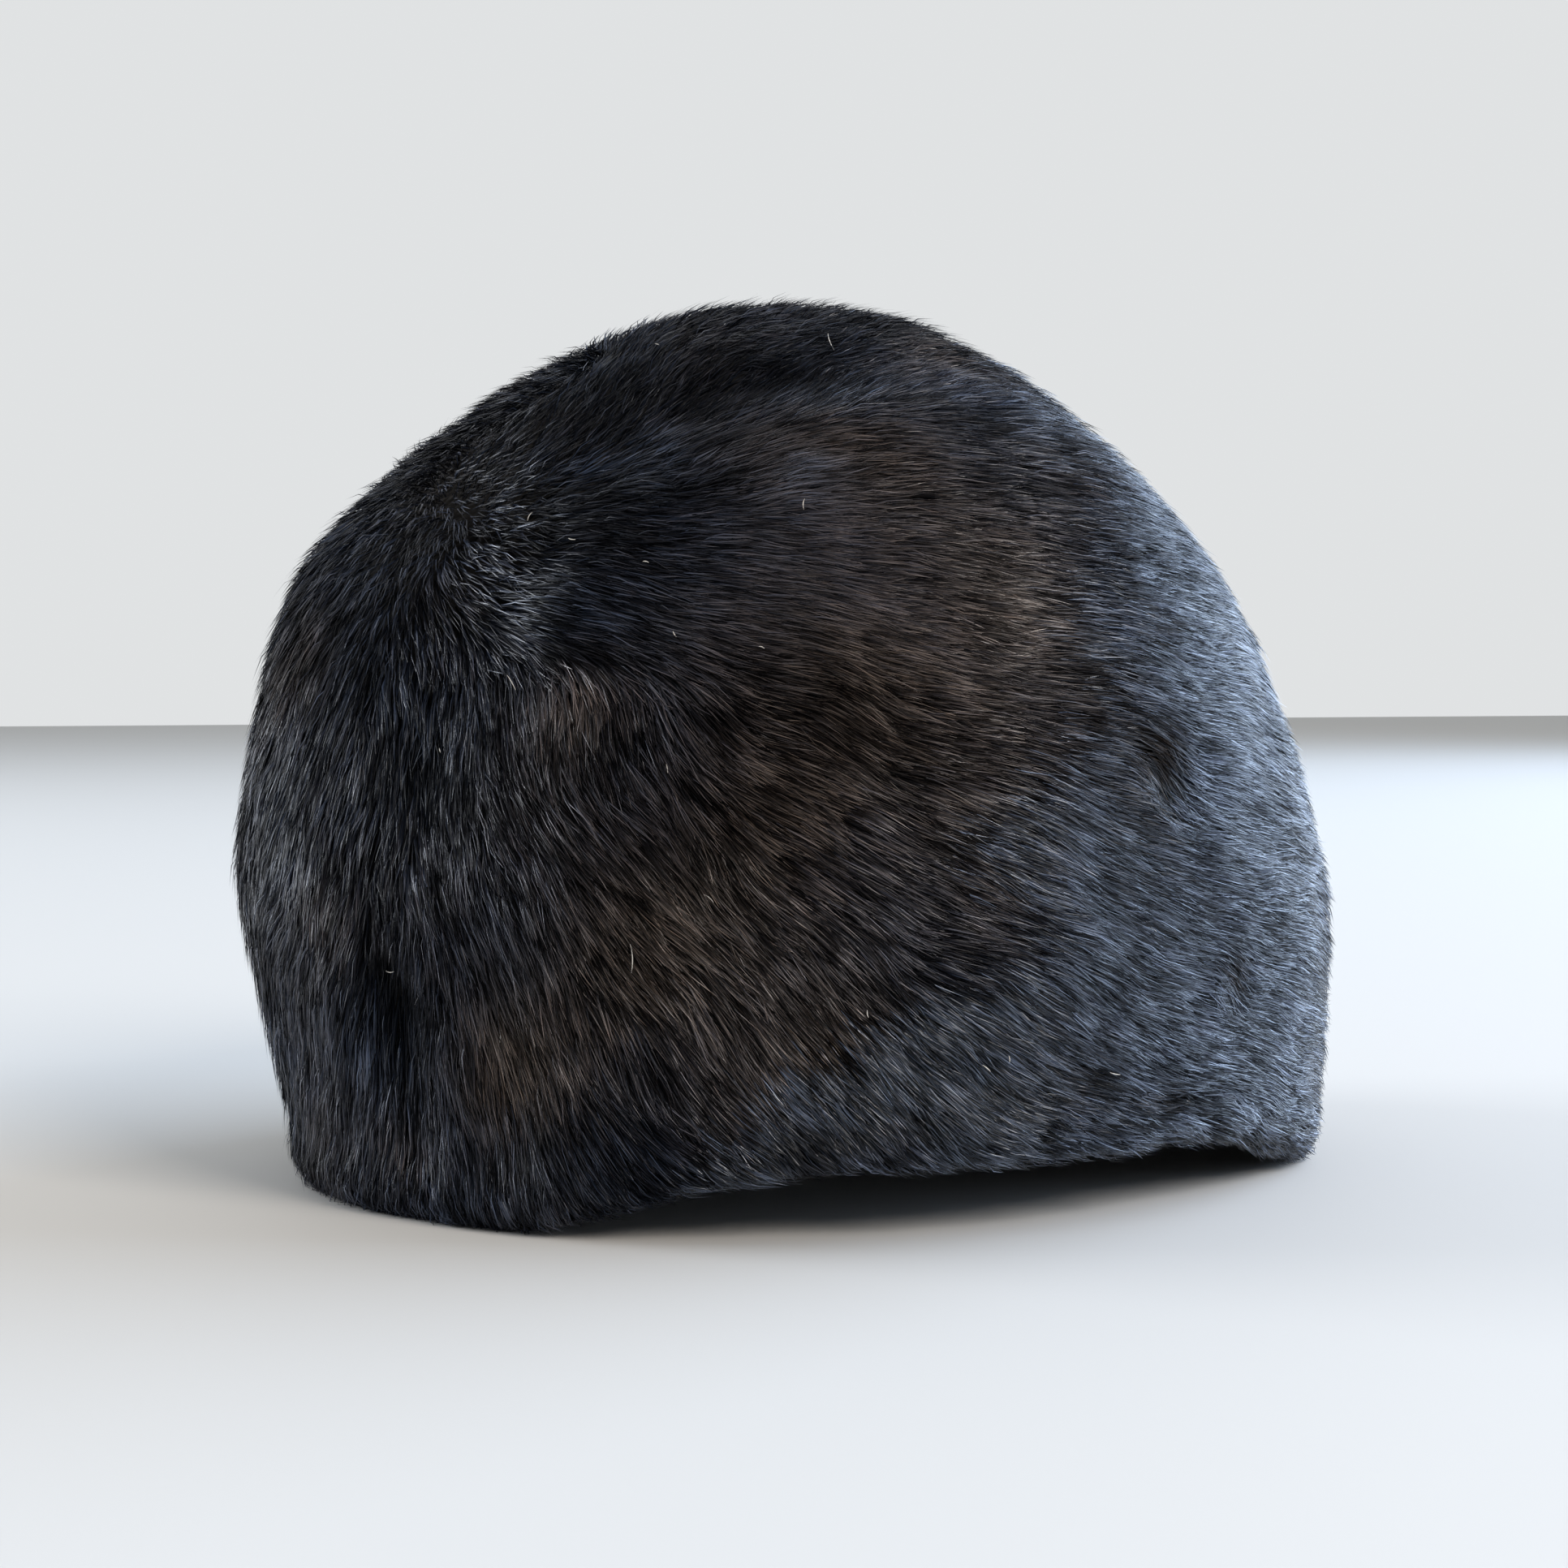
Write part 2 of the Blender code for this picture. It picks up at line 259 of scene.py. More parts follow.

# Painted shade in the dark hollows and painted light on the pale tufts seen in the fur: pixel, radius, how
# much darker (paler where negative), and how the comb turns there
SHADE_COLUMNS = ("x", "y", "radius", "dark", "turn")
SEEN_SHADES = (
    (468, 1200, 0.0085, 0.90, 0),
    (492, 1262, 0.0070, 0.90, 0),
    (484, 1335, 0.0055, 0.60, 0),
    (445, 1090, 0.0060, 0.35, 0),
    (490, 980, 0.012, 0.55, 0),
    (580, 1000, 0.009, 0.40, 0),
    (870, 490, 0.012, 0.90, 0),
    (980, 465, 0.011, 0.85, 0),
    (750, 650, 0.014, 0.80, 0),
    (860, 600, 0.007, 0.55, 0),
    (700, 500, 0.014, 0.60, 0),
    (800, 430, 0.012, 0.60, 0),
    (500, 520, 0.014, 0.40, 0),
    (480, 800, 0.010, 0.30, 0),
    (560, 760, 0.006, 0.35, 0),
    (1440, 1330, 0.009, 0.40, 0),
    (1330, 1395, 0.009, 0.40, 0),
    (1130, 1420, 0.009, 0.55, 0),
    (1010, 1440, 0.009, 0.50, 0),
    (1000, 960, 0.013, 0.35, 0),
    (1100, 900, 0.010, 0.20, 0),
    (390, 1330, 0.012, -0.80, 0),
    (360, 1120, 0.010, -0.50, 0),
    (1010, 680, 0.018, -0.80, 0),
    (1220, 750, 0.016, -0.40, 0),
    (1160, 460, 0.012, -0.50, 0),
    (345, 950, 0.010, -0.35, 0),
    (1536, 1003, 0.003, 0.50, 0),
    (1480, 1010, 0.004, 0.30, 0),
    (1560, 1330, 0.004, 0.25, 0),
    (1440, 940, 0.0070, 0.90, 75),
    (1525, 1205, 0.0050, 0.85, 60),
    (680, 1430, 0.010, 0.50, 0),
    (800, 1450, 0.010, 0.50, 0),
    (1040, 880, 0.007, 0.35, 20),
    (1200, 930, 0.006, 0.30, 0),
    (900, 1050, 0.006, 0.25, 15),
    (1160, 1180, 0.006, 0.25, -15),
    (1230, 1230, 0.0035, 0.55, 12),
    (1300, 1260, 0.0030, 0.55, -12),
    (1380, 1235, 0.0030, 0.50, 12),
    (1345, 1330, 0.0035, 0.55, -10),
    (1210, 1320, 0.0040, 0.60, 14),
    (1430, 1290, 0.0030, 0.45, 10),
    (1290, 1180, 0.0030, 0.45, -10),
    (1130, 1300, 0.0035, 0.50, 12),
    (565, 655, 0.004, -0.60, 0),
    (620, 806, 0.0035, 0.60, 0),
    (690, 818, 0.0035, 0.60, 0),
    (760, 822, 0.0035, 0.45, 0),
    (690, 872, 0.0055, -0.70, 0),
    (750, 875, 0.0050, -0.55, 0),
    (470, 1390, 0.009, -0.30, 0),
    (1000, 580, 0.010, -0.30, 0),
    (900, 1200, 0.014, -0.10, 0),
    (650, 1290, 0.010, -0.10, 0),
)

# Where the fur is brown in the picture; it's blue-black elsewhere. Partly the fur's own tone, partly painted
# warm light on the brown and painted bluish shade on the blue-black
BROWN_COLUMNS = ("x", "y", "radius", "brown")
SEEN_BROWN = (
    (1000, 950, 0.030, 0.6),
    (1200, 700, 0.028, 0.6),
    (1250, 950, 0.024, 0.5),
    (850, 1200, 0.026, 0.75),
    (650, 1320, 0.014, 0.65),
    (720, 870, 0.010, 0.7),
    (1050, 560, 0.016, 0.6),
    (1150, 430, 0.014, 0.5),
    (1050, 1330, 0.016, 0.5),
    (400, 1150, 0.010, 0.4),
    (380, 820, 0.010, 0.4),
    (500, 1430, 0.008, 0.5),
    (1440, 940, 0.008, 0.8),
    (1525, 1205, 0.006, 0.8),
)

# Tufts with a painted blue glint, apart from the painted sheen: pixel, radius and how much
GLINT_COLUMNS = ("x", "y", "radius", "glint")
SEEN_PAINTED_GLINTS = (
    (595, 668, 0.010, 0.60),
    (535, 690, 0.008, 0.50),
    (650, 735, 0.008, 0.45),
    (560, 630, 0.008, 0.35),
    (1010, 585, 0.008, 0.40),
    (650, 1430, 0.006, 0.25),
)

# The left edge of the painted blue-grey sheen in the picture, from top to bottom
SHEEN_COLUMNS = ("x", "y")
PAINTED_SHEEN_EDGE = (
    (1215, 400),
    (1290, 480),
    (1345, 560),
    (1390, 650),
    (1385, 740),
    (1360, 800),
    (1395, 880),
    (1340, 960),
    (1240, 1030),
    (1250, 1080),
    (1310, 1130),
    (1290, 1200),
    (1135, 1260),
    (1050, 1310),
    (960, 1380),
    (870, 1460),
)

# Light fibres caught in the pile: pixel, length and turn in degrees
LINT_COLUMNS = ("x", "y", "length", "turn")
SEEN_LINT = (
    (1020, 425, 0.0050, 70),
    (1055, 447, 0.0040, 10),
    (780, 1180, 0.0050, 88),
    (634, 842, 0.0035, 60),
    (823, 948, 0.0016, 80),
    (620, 1275, 0.0025, 95),
    (485, 1195, 0.0022, 5),
    (875, 1105, 0.0022, 40),
    (1213, 1315, 0.0020, 40),
    (655, 640, 0.0020, 120),
    (810, 430, 0.0018, 15),
    (1370, 1322, 0.0026, 12),
    (1417, 1144, 0.0018, 28),
    (1241, 1304, 0.0012, 85),
    (1067, 1248, 0.0014, 80),
    (707, 668, 0.0016, 10),
    (832, 784, 0.0013, 60),
    (797, 694, 0.0011, 10),
    (989, 624, 0.0022, 95),
    (939, 799, 0.0011, 20),
    (547, 926, 0.0012, 70),
)


def ease(share):
    """Runs smoothly from 0 to 1."""
    share = np.clip(share, 0.0, 1.0)
    return share * share * (3.0 - 2.0 * share)


def unit(vectors):
    """The vectors at length 1."""
    return vectors / np.maximum(np.linalg.norm(vectors, axis=-1, keepdims=True), 1e-12)


def waves(points, length, seed):
    """Soft unevenness from -1 to 1 at each point, with bumps about as long as given."""
    rng = np.random.default_rng(seed)
    ways = unit(rng.normal(size=(7, 3)))
    stretch = rng.uniform(0.7, 1.5, 7)
    phase = rng.uniform(0, 2 * math.pi, 7)
    return np.sin(points @ (ways * stretch[:, None]).T * (math.pi / length) + phase).sum(axis=1) / 4.0


def around_hat(points, seed):
    """Degrees round the hat from its front to its back, the same on both sides, made a little uneven."""
    around = np.degrees(np.arctan2(np.abs(points[:, 0]), -points[:, 1]))
    return around + 14 * waves(points, 0.014, seed)


def nearness(points, spot):
    """How near points are to a spot: 1 at its place, fading with its radius."""
    return np.exp(-np.sum((points - spot["place"]) ** 2, axis=1) / spot["radius"] ** 2)


def make_camera():
    """The camera at the picture's viewing angle."""
    data = bpy.data.cameras.new("camera")
    data.lens = CAMERA_LENS
    data.sensor_width = SENSOR
    data.clip_start = 0.01
    camera = bpy.data.objects.new("camera", data)
    around = math.radians(CAMERA_AROUND)
    camera.location = (math.sin(around) * CAMERA_AWAY, -math.cos(around) * CAMERA_AWAY, CAMERA_UP)
    turned = math.radians(CAMERA_AROUND + CAMERA_ASIDE)
    camera.rotation_euler = (math.pi / 2 - math.radians(CAMERA_DOWN), 0.0, turned)
    bpy.context.scene.collection.objects.link(camera)
    bpy.context.scene.camera = camera
    bpy.context.view_layer.update()
    return camera


def pixel_ray(camera, x, y):
    """Start and direction of the sight line through a pixel, and the picture's right and down."""
    scale = SENSOR / CAMERA_LENS / PICTURE_SIDE
    turn = camera.matrix_world.to_3x3()
    ray = turn @ Vector(((x - PICTURE_SIDE / 2) * scale, (PICTURE_SIDE / 2 - y) * scale, -1.0))
    right, down = turn @ Vector((1, 0, 0)), turn @ Vector((0, -1, 0))
    return camera.matrix_world.translation, ray.normalized(), right, down


def welded(node):
    """A CAD node's points and triangles with shared corners joined."""
    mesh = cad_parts[node].data
    mesh.calc_loop_triangles()
    points = np.empty(len(mesh.vertices) * 3, np.float32)
    mesh.vertices.foreach_get("co", points)
    points = points.reshape(-1, 3)
    corners = np.empty(len(mesh.loop_triangles) * 3, np.int32)
    mesh.loop_triangles.foreach_get("vertices", corners)
    keys = np.round(points * 1e5).astype(np.int64)
    _, first, back = np.unique(keys, axis=0, return_index=True, return_inverse=True)
    return points[first].astype(float), back.reshape(-1)[corners].reshape(-1, 3)


def face_normals(points, triangles):
    """Outward normals of triangles, as long as twice their area."""
    a, b, c = (points[triangles[:, i]] for i in range(3))
    return np.cross(b - a, c - a)


def point_normals(points, triangles):
    """Smooth normals at points."""
    total = np.zeros_like(points)
    across = face_normals(points, triangles)
    for i in range(3):
        np.add.at(total, triangles[:, i], across)
    return unit(total)


def facing_out(points, triangles, least):
    """Which triangles face away from the middle of the hat."""
    normals = unit(face_normals(points, triangles))
    middle = points[triangles].mean(axis=1)
    return np.sum(normals * unit(middle - MIDDLE), axis=1) > least


def triangle_sides(triangles):
    """The pairs of points along the sides of triangles."""
    return np.concatenate([triangles[:, [0, 1]], triangles[:, [1, 2]], triangles[:, [2, 0]]])


def relaxed(points, triangles, rounds, still):
    """Points moved towards the middle of their neighbours, which softens the locks; still ones stay."""
    pairs = triangle_sides(triangles)
    pairs = np.concatenate([pairs, pairs[:, ::-1]])
    count = np.bincount(pairs[:, 0], minlength=len(points))[:, None]
    for _ in range(rounds):
        total = np.zeros_like(points)
        np.add.at(total, pairs[:, 0], points[pairs[:, 1]])
        moved = points + 0.5 * (total / np.maximum(count, 1) - points)
        points = np.where(still[:, None], points, moved)
    return points


def edge_points(triangles, size):
    """Which points lie on the open edge of a set of triangles."""
    pairs = np.sort(triangle_sides(triangles), axis=1)
    found, count = np.unique(pairs, axis=0, return_counts=True)
    on_edge = np.zeros(size, bool)
    on_edge[found[count == 1].ravel()] = True
    return on_edge


class Surface:
    """The fur side of a CAD node, softened, to plant strands on."""

    def __init__(self, node, least=FUR_SIDE, rounds=SOFT_ROUNDS, steepest=2.0):
        points, triangles = welded(node)
        out = triangles[facing_out(points, triangles, least)]
        out = out[unit(face_normals(points, out))[:, 2] < steepest]
        self.points = relaxed(points, out, rounds, edge_points(out, len(points)))
        self.triangles = out
        self.normals = point_normals(self.points, out)
        self.areas = np.linalg.norm(face_normals(self.points, out), axis=1) / 2

    def scatter(self, count, rng):
        """Even random places on the surface with their normals."""
        pick = rng.choice(len(self.triangles), count, p=self.areas / self.areas.sum())
        a, b = rng.random((2, count, 1))
        over = a + b > 1
        a, b = np.where(over, 1 - a, a), np.where(over, 1 - b, b)
        corners = self.triangles[pick]
        shares = (1 - a - b, a, b)
        places = sum(s * self.points[corners[:, i]] for i, s in enumerate(shares))
        return places, unit(sum(s * self.normals[corners[:, i]] for i, s in enumerate(shares)))


class Comb:
    """Which way the fur lies anywhere on the hat, and where its painted shade and light, browns and painted
    sheen are.
    """

    def __init__(self, camera, surfaces):
        self.points = np.concatenate([s.points for s in surfaces])
        self.normals = np.concatenate([s.normals for s in surfaces])
        starts = np.cumsum([0] + [len(s.points) for s in surfaces])
        self.triangles = np.concatenate([s.triangles + start for s, start in zip(surfaces, starts)])
        self.tree = BVHTree.FromPolygons(self.points.tolist(), self.triangles.tolist())
        self.camera = camera
        places, ways = [], []
        for row in SEEN_COMB:
            seen = dict(zip(SEEN_COLUMNS, row))
            found = self.on_hat(seen["x"], seen["y"], seen["turn"])
            if found is None:
                continue
            place, _, way = found
            places += [place, place * (-1, 1, 1)]
            ways += [way, way * (-1, 1, 1)]
        for row in HIDDEN_COMB:
            hidden = dict(zip(HIDDEN_COLUMNS, row))
            place = self.beside(hidden["around"], hidden["up"] * CAD_BOX[1][2])
            for side in (1, -1):
                places.append(place * (side, 1, 1))
                ways.append(np.array((side * hidden["out"], hidden["back"], -hidden["down"])))
        self.places = np.array(places)
        self.ways = unit(np.array(ways))
        self.shades = self.seen_spots(SEEN_SHADES, SHADE_COLUMNS, 0.4)
        self.browns = self.seen_spots(SEEN_BROWN, BROWN_COLUMNS, 0.9)
        self.painted_glints = self.seen_spots(SEEN_PAINTED_GLINTS, GLINT_COLUMNS, 0.6)

    def seen_spots(self, rows, columns, far):
        """A table's spots with their place on the hat, and fainter ones about there on its far side."""
        rng = np.random.default_rng(SPOT_SEED)
        spots = []
        for row in rows:
            seen = dict(zip(columns, row))
            found = self.on_hat(seen["x"], seen["y"], 0.0)
            if found is not None:
                mirrored = found[0] * (-1, 1, 1) + rng.normal(0.0, 0.009, 3)
                moved = self.onto(mirrored[None])[0][0]
                spots.append(dict(seen, place=found[0], side=1, share=1.0))
                spots.append(dict(seen, place=moved, side=-1, share=far))
        return spots

    def on_hat(self, x, y, turn):
        """The place, normal and strand direction at a pixel of the picture, or None beside the hat."""
        start, ray, right, down = pixel_ray(self.camera, x, y)
        place, normal, _, _ = self.tree.ray_cast(start, ray)
        if place is None:
            return None
        angle = math.radians(turn)
        wanted = right * math.cos(angle) + down * math.sin(angle)
        way = normal.cross(ray.cross(wanted)).normalized()
        if way.dot(wanted) < 0:
            way = -way
        return np.array(place), np.array(normal), np.array(way)

    def beside(self, around, up):
        """The place on the hat at a height, seen level from an angle, or from above near the top."""
        angle = math.radians(around)
        out = Vector((math.sin(angle), -math.cos(angle), 0.0))
        slope = Vector((0, 0, 1)) * ease(np.float64((up / CAD_BOX[1][2] - 0.6) / 0.4)) * 1.2
        way = (out + slope).normalized()
        place, _, _, _ = self.tree.ray_cast(Vector((0, 0, min(up, 0.09))) + way * 0.5, -way)
        return np.array(place) if place is not None else np.array(out) * HAT_RADIUS + (0, 0, up)

    def at(self, points, normals):
        """Unit directions of the fur at points, along the surface."""
        total = np.zeros_like(points)
        for place, way in zip(self.places, self.ways):
            near = np.sum((points - place) ** 2, axis=1) + COMB_REACH**2
            total += way / near[:, None] ** 2
        total -= np.sum(total * normals, axis=1, keepdims=True) * normals
        return unit(total)

    def painted_shade(self, points):
        """Painted shade at points: how much darker, negative for painted light, and how far the comb turns
        there.
        """
        dark, turn = np.zeros(len(points)), np.zeros(len(points))
        for spot in self.shades:
            near = nearness(points, spot)
            dark += spot["share"] * spot["dark"] * near
            turn -= spot["side"] * math.radians(spot["turn"]) * near
        return np.clip(dark, -0.8, 0.9), turn

    def coolness(self, points):
        """How far the fur leans from brown to blue-black at points, from 0 to 1; it's browner behind.

        The lean is partly the fur's own tone and partly painted: warm light on the brown, bluish shade on the
        blue-black.
        """
        behind = ease((around_hat(points, 22) - BROWN_FROM) / BROWN_OVER)
        brown = 0.12 + 0.2 * waves(points, 0.02, 21) + 0.62 * behind
        for spot in self.browns:
            brown = np.maximum(brown, 0) + spot["share"] * spot["brown"] * nearness(points, spot)
        return np.clip(1.0 - brown, 0.0, 1.0)

    def painted_sheen(self, points, stagger):
        """How far the fur is in the painted sheen at points, from 0 to 1: painted a paler blue-grey, and
        glossier.

        That part is right of an edge in the picture, which each strand's stagger shifts by pixels. The
        painted sheen is weaker behind and on the far side, and painted glints on tufts are added."""
        near = points * (0, 1, 1) + np.abs(points) * (1, 0, 0)
        turn = np.array(self.camera.matrix_world.to_3x3())
        seen = (near - np.array(self.camera.matrix_world.translation)) @ turn
        scale = PICTURE_SIDE * CAMERA_LENS / SENSOR / -seen[:, 2]
        x = PICTURE_SIDE / 2 + seen[:, 0] * scale
        y = PICTURE_SIDE / 2 - seen[:, 1] * scale
        edge = [dict(zip(SHEEN_COLUMNS, row)) for row in PAINTED_SHEEN_EDGE]
        past = x - np.interp(y, [spot["y"] for spot in edge], [spot["x"] for spot in edge])
        past = past + SHEEN_UNEVEN * waves(points, 0.004, 31) + SHEEN_UNEVEN * waves(points, 0.009, 32)
        behind = ease((around_hat(points, 23) - DULL_FROM) / DULL_OVER)
        far_side = ease((-points[:, 0] - 0.02) / 0.04)
        sheen_and_gloss = ease((past + stagger) / SHEEN_SOFT + 0.5) * (1.0 - 0.85 * behind)
        sheen_and_gloss = sheen_and_gloss * (1.0 - 0.35 * far_side)
        for spot in self.painted_glints:
            sheen_and_gloss = np.maximum(sheen_and_gloss, spot["share"] * spot["glint"] * nearness(points, spot))
        return sheen_and_gloss

    def plush(self, points):
        """How far the pile stands up and loses its comb: on the upper front of the centre panel."""
        strip = 1.0 - ease((np.abs(points[:, 0]) - 0.036) / 0.02)
        return strip * ease((points[:, 2] - 0.085) / 0.05) * (1.0 - ease(points[:, 1] / 0.03))

    def onto(self, points):
        """The nearest places on the hat's outside and their smooth normals."""
        found = [self.tree.find_nearest(point) for point in points.tolist()]
        places = np.array([f[0] for f in found])
        corners = self.triangles[[f[2] for f in found]]
        a, b, c = (self.points[corners[:, i]] for i in range(3))
        whole = np.cross(b - a, c - a)
        size = np.maximum(np.sum(whole * whole, axis=1), 1e-20)
        share_b = np.sum(np.cross(places - a, c - a) * whole, axis=1) / size
        share_c = np.sum(np.cross(b - a, places - a) * whole, axis=1) / size
        shares = (1 - share_b - share_c, share_b, share_c)
        return places, unit(sum(s[:, None] * self.normals[corners[:, i]] for i, s in enumerate(shares)))


def strand_paths(comb, places, normals, rng, look):
    """A root, middle and tip for each strand along the comb, which ones stray, and where each one shows."""
    count = len(places)
    shown = places + comb.at(places, normals) * look["length"] * 0.6
    along = comb.at(shown, normals)
    dark, turn = comb.painted_shade(shown)
    # How deep the painted shade is here; strands under it also lie shorter and lower
    shaded = np.clip(dark, 0, 1)
    plush = comb.plush(places)
    swing = turn + 0.14 * waves(places, 0.020, 11) + 0.13 * waves(places, 0.008, 12)
    swing = swing + rng.normal(0.0, 1.0, count) * (look["stray"] + 0.24 * plush)
    along = along * np.cos(swing)[:, None] + np.cross(normals, along) * np.sin(swing)[:, None]
    length = look["length"] * rng.uniform(0.7, 1.25, count) * (1.0 + 0.12 * waves(places, 0.02, 13))
    length *= (1.0 - 0.25 * shaded) * (1.0 - 0.42 * plush)
    depth = look["depth"] * rng.uniform(0.5, 1.0, count)
    tip = look["lift"] + 0.0005 * waves(places, 0.008, 14) + rng.normal(0.0, 0.00035, count)
    tip = tip - 0.0008 * shaded + 0.0005 * plush
    stray = rng.random(count) < STRAY_SHARE
    tip = tip + stray * rng.uniform(*STRAY_RISE, count)
    tip = tip + 0.0004 * plush * waves(places, 0.004, 15)
    bend = rng.normal(0.0, 0.10, count)
    paths, ground, straight, up = [], places, places, normals
    last = 0.0
    for share in STRAND_STEPS:
        if share > last:
            step = (length * (share - last))[:, None]
            straight = straight + along * step
            ground, up = comb.onto(ground + along * step)
            along = along + np.cross(up, along) * bend[:, None]
            along = unit(along - np.sum(along * up, axis=1, keepdims=True) * up)
            last = share
        rise = -depth + (depth + tip) * (1.0 - (1.0 - share) ** 1.8)
        paths.append(0.78 * ground + 0.22 * straight + up * rise[:, None])
    paths = np.stack(paths, axis=1)
    return paths, stray, 0.35 * paths[:, 1] + 0.65 * paths[:, 2]


def gather(paths, stray, places, normals, comb, rng, look, seed):
    """Draws strands together into clumps that share their tips, and gives each clump a random tone."""
    count = min(max(int(look["area"] / look["spacing"] ** 2), 4), len(places))
    pick = rng.choice(len(places), count, replace=False)
    guides, _, _ = strand_paths(comb, places[pick], normals[pick], np.random.default_rng(seed), look)
    tree = KDTree(count)
    for i, place in enumerate(places[pick]):
        tree.insert(place, i)
    tree.balance()
    nearest = np.array([tree.find(place)[1] for place in places])
    strength = look["clump"] * rng.uniform(0.25, 1.2, len(places))
    strength *= (1.0 - 0.45 * comb.plush(places)) * (1.0 - 0.6 * stray)
    for step, share in enumerate(STRAND_STEPS):
        towards = (strength * share**1.3)[:, None]
        paths[:, step] += towards * (guides[nearest, step] - paths[:, step])
    return paths, np.random.default_rng(seed + 1).random(count)[nearest]


def strand_mesh(name, paths, normals, width, tone, rng):
    """One mesh of ribbons that taper to a tip, with rounded shading across each and its tone as colour."""
    count = len(paths)
    along = unit(np.gradient(paths, axis=1))
    roll = rng.normal(0.0, 0.5, count)[:, None, None]
    side = unit(np.cross(along, normals[:, None, :]))
    face = np.cross(side, along)
    side, face = side * np.cos(roll) + face * np.sin(roll), face * np.cos(roll) - side * np.sin(roll)
    half = (width * rng.uniform(0.7, 1.3, count))[:, None] * np.array([[0.45, 0.5]])
    points = np.empty((count, 5, 3), np.float32)
    shade = np.empty((count, 5, 3), np.float32)
    for step in range(2):
        wide = side[:, step] * half[:, step : step + 1]
        points[:, 2 * step] = paths[:, step] - wide
        points[:, 2 * step + 1] = paths[:, step] + wide
        shade[:, 2 * step] = unit(face[:, step] - 0.7 * side[:, step])
        shade[:, 2 * step + 1] = unit(face[:, step] + 0.7 * side[:, step])
    points[:, 4] = paths[:, 2]
    shade[:, 4] = face[:, 2]
    points[:, :, 2] = np.maximum(points[:, :, 2], FLOOR_GAP)
    mesh = bpy.data.meshes.new(name)
    mesh.vertices.add(count * 5)
    mesh.vertices.foreach_set("co", points.ravel())
    corners = np.array([0, 1, 3, 2, 2, 3, 4], np.int32)
    loops = (corners[None, :] + 5 * np.arange(count, dtype=np.int32)[:, None]).ravel()
    mesh.loops.add(len(loops))
    mesh.loops.foreach_set("vertex_index", loops)
    mesh.polygons.add(count * 2)
    starts = (np.array([0, 4])[None, :] + 7 * np.arange(count)[:, None]).ravel()
    mesh.polygons.foreach_set("loop_start", starts.astype(np.int32))
    mesh.update(calc_edges=True)
    mesh.validate()
    mesh.shade_smooth()
    mesh.normals_split_custom_set_from_vertices(shade.reshape(-1, 3))
    colours = np.ones((count, 5, 4), np.float32)
    colours[:, :, 0] = np.array(TONE_STEPS, np.float32)
    for channel, values in enumerate(tone, 1):
        colours[:, :, channel] = values[:, None]
    layer = mesh.color_attributes.new("tone", "FLOAT_COLOR", "POINT")
    layer.data.foreach_set("color", colours.ravel())
    return add_thing(name, mesh)


def add_thing(name, mesh):
    """A new object in the scene from a mesh."""
    thing = bpy.data.objects.new(name, mesh)
    bpy.context.scene.collection.objects.link(thing)
    return thing


def put(tree, node, name, value):
    """Sets an input of a node to a value, or links it to another node's output."""
    if isinstance(value, bpy.types.NodeSocket):
        tree.links.new(value, node.inputs[name])
    else:
        node.inputs[name].default_value = value


def add(tree, kind, inputs=None, **settings):
    """A new shader node with its settings, and with its inputs set or linked."""
    node = tree.nodes.new("ShaderNode" + kind)
    for name, value in settings.items():
        setattr(node, name, value)
    for name, value in (inputs or {}).items():
        put(tree, node, name, value)
    return node


def blend(tree, factor, start, end):
    """A colour between two others, which are colours or outputs."""
    ends = [c if isinstance(c, bpy.types.NodeSocket) else (*c, 1.0) for c in (start, end)]
    inputs = {"Factor": factor, "A": ends[0], "B": ends[1]}
    return add(tree, "Mix", inputs, data_type="RGBA").outputs["Result"]


def spread(tree, value, low, high, start=0.0, end=1.0):
    """A value from one range spread over another."""
    inputs = {"Value": value, "From Min": start, "From Max": end, "To Min": low, "To Max": high}
    return add(tree, "MapRange", inputs).outputs["Result"]


def maths(tree, operation, *values):
    """The result of a calculation with values or outputs."""
    return add(tree, "Math", dict(enumerate(values)), operation=operation).outputs["Value"]


def noise(tree, place, scale, detail):
    """Noise at a place."""
    return add(tree, "TexNoise", {"Vector": place, "Scale": scale, "Detail": detail}).outputs["Fac"]


def new_material(name, inputs):
    """A new material with its node tree and its shader, whose own values are set."""
    material = bpy.data.materials.new(name)
    material.use_nodes = True
    tree = material.node_tree
    shader = tree.nodes["Principled BSDF"]
    for socket, value in inputs.items():
        put(tree, shader, socket, value)
    return material, tree, shader


